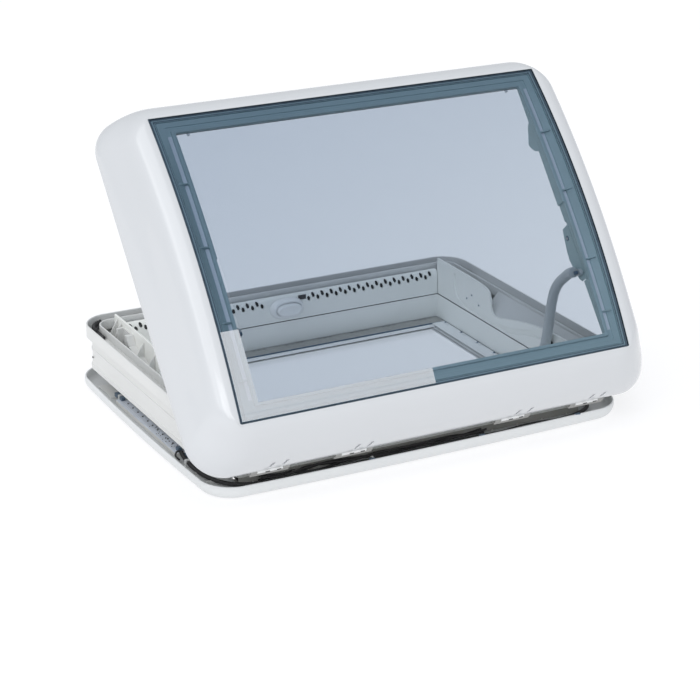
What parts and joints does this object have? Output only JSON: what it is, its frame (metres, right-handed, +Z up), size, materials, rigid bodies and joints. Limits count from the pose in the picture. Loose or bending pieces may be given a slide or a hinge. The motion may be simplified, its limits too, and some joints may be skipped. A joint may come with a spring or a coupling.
{
  "type": "caravan rooflight",
  "caption": "Caravan roof vent with a hinged, tinted double-glazed lid held open by a tubular bow, trim frame with light strips, blind and flyscreen.",
  "frame": {"origin": "centre of the bounding box's bottom face, which is the room side face of the interior trim frame, lid open at its highest catch", "axes": "+Z up through the roof, +X along the hinge side, hinge side towards -Y"},
  "size_m": [0.856, 0.6294, 0.5568],
  "materials": {
    "lid_white": "gloss white",
    "frame_white": "satin white",
    "panel_grey": "light grey, fine texture",
    "tinted_pane": "tinted acrylic",
    "clear_pane": "clear acrylic",
    "inner_frame_grey": "satin grey",
    "rubber_black": "soft black",
    "bow_grey": "satin grey powder coat",
    "hinge_white": "satin white",
    "steel": "plain",
    "track_grey": "satin grey",
    "bar_white": "semi gloss white",
    "board_blue": "coated circuit board",
    "diffuser_white": "milky",
    "fabric_silver": "metallised pleated cloth",
    "mesh_black": "fine pleated net"
  },
  "bodies": {
    "base": {"blind_pleats": "fabric_silver", "button_housing": "bar_white", "cable_tie": "bar_white", "flyscreen_pleats": "mesh_black", "front_cassette": "track_grey", "front_inner_wall": "panel_grey", "hinge_base_1": "hinge_white", "hinge_base_2": "hinge_white", "hinge_base_3": "hinge_white", "hinge_base_4": "hinge_white", "inner_liner": "panel_grey", "left_bow_guide": "frame_white", "left_front_led_plug": "bar_white", "left_led_board": "board_blue", "left_led_diffuser": "diffuser_white", "left_rail": "bar_white", "left_rear_led_plug": "bar_white", "left_side_panel": "panel_grey", "rear_cassette": "track_grey", "rear_vent_strip": "panel_grey", "right_bow_guide": "frame_white", "right_front_led_plug": "bar_white", "right_led_board": "board_blue", "right_led_diffuser": "diffuser_white", "right_rail": "bar_white", "right_rear_led_plug": "bar_white", "right_side_panel": "panel_grey", "rim_foam": "rubber_black", "roof_frame": "frame_white", "trim_frame": "frame_white", "wire_harness": "rubber_black"},
    "lid": {"lid_shell": "lid_white", "outer_pane": "tinted_pane", "pane_gasket": "rubber_black", "inner_pane": "clear_pane", "lid_inner_frame": "inner_frame_grey", "lid_seal": "rubber_black", "left_bow_bracket": "inner_frame_grey", "right_bow_bracket": "inner_frame_grey", "left_pivot_bolt": "steel", "right_pivot_bolt": "steel", "left_lid_catch": "inner_frame_grey", "right_lid_catch": "inner_frame_grey", "hinge_leaf_1": "hinge_white", "hinge_leaf_2": "hinge_white", "hinge_leaf_3": "hinge_white", "hinge_leaf_4": "hinge_white", "hinge_pin_1": "steel", "hinge_pin_2": "steel", "hinge_pin_3": "steel", "hinge_pin_4": "steel"},
    "bow": {"bow_tube": "bow_grey", "left_bow_end": "bow_grey", "right_bow_end": "bow_grey", "left_bow_foot": "rubber_black", "right_bow_foot": "rubber_black"},
    "button": {"release_button": "bar_white"},
    "blind": {"blind_bar": "bar_white"},
    "flyscreen": {"flyscreen_bar": "bar_white"}
  },
  "joints": [
    {"name": "lid_hinge", "type": "hinge", "parent": "base", "child": "lid", "pos_m": [0, -0.278, 0.049], "axis": [1, 0, 0], "range_deg": [-50.46, 0]},
    {"name": "bow_pivot", "type": "hinge", "parent": "lid", "child": "bow", "pos_m": [0, -0.2115, 0.2555], "axis": [1, 0, 0], "range_deg": [0, 93]},
    {"name": "release_push", "type": "slide", "parent": "base", "child": "button", "axis": [0, 1, 0], "range_m": [0, 0.003], "stiffness_N_per_m": 400},
    {"name": "blind_slide", "type": "slide", "parent": "base", "child": "blind", "axis": [0, -1, 0], "range_m": [0, 0.405]},
    {"name": "flyscreen_slide", "type": "slide", "parent": "base", "child": "flyscreen", "axis": [0, 1, 0], "range_m": [0, 0.405]}
  ],
  "couplings": [
    {"joint": "bow_pivot", "follows": "lid_hinge", "ratio": -1.834}
  ]
}
